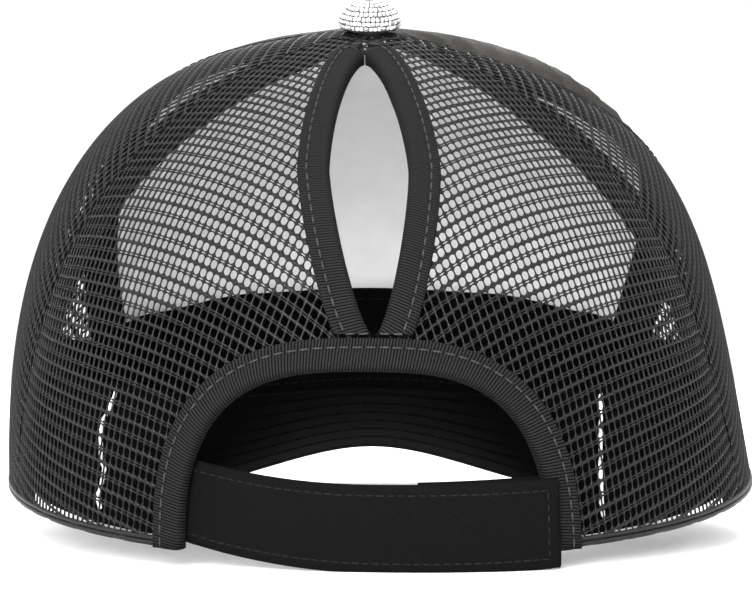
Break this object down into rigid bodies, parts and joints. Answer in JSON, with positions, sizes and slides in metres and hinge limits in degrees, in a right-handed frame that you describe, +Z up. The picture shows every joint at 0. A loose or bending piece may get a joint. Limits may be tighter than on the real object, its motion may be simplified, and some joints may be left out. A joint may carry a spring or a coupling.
{
  "type": "net-back baseball cap",
  "caption": "Baseball cap with a cloth front, a net crown, a bound ponytail slit over a half-moon opening, a hook-and-loop strap and a curved visor.",
  "frame": {"origin": "on the table, under the middle of the resting cap's box", "axes": "+Z up, visor towards -Y, closure strap towards +Y"},
  "size_m": [0.1746, 0.2652, 0.1213],
  "materials": {
    "front_cloth": "matt black cloth outside, light grey cloth inside",
    "net": "black polyester net with a soft sheen",
    "seam_tape": "matt black woven tape",
    "binding": "black ribbed twill tape with a stitched edge",
    "sweatband": "matt black twill",
    "band_edge": "white edge of the band's backing",
    "visor_cloth": "black twill with rows of stitching",
    "button_cloth": "silvery sparkle cloth",
    "strap": "black twill strap with stitched edges",
    "hook": "black hook tape",
    "pile": "black loop pile"
  },
  "bodies": {
    "root": {"front_panel": "front_cloth", "side_net_left": "net", "side_net_right": "net", "rear_net_left": "net", "rear_net_right": "net", "front_tape_left": "seam_tape", "front_tape_right": "seam_tape", "rear_tape_left": "seam_tape", "rear_tape_right": "seam_tape", "slit_binding_left": "binding", "slit_binding_right": "binding", "arch_binding": "binding", "sweatband": "sweatband", "sweatband_end_left": "band_edge", "sweatband_end_right": "band_edge", "visor": "visor_cloth", "button": "button_cloth", "closure_strap": "strap", "closure_tab": "strap", "hook_pad": "hook", "loop_pad": "pile"}
  },
  "joints": []
}
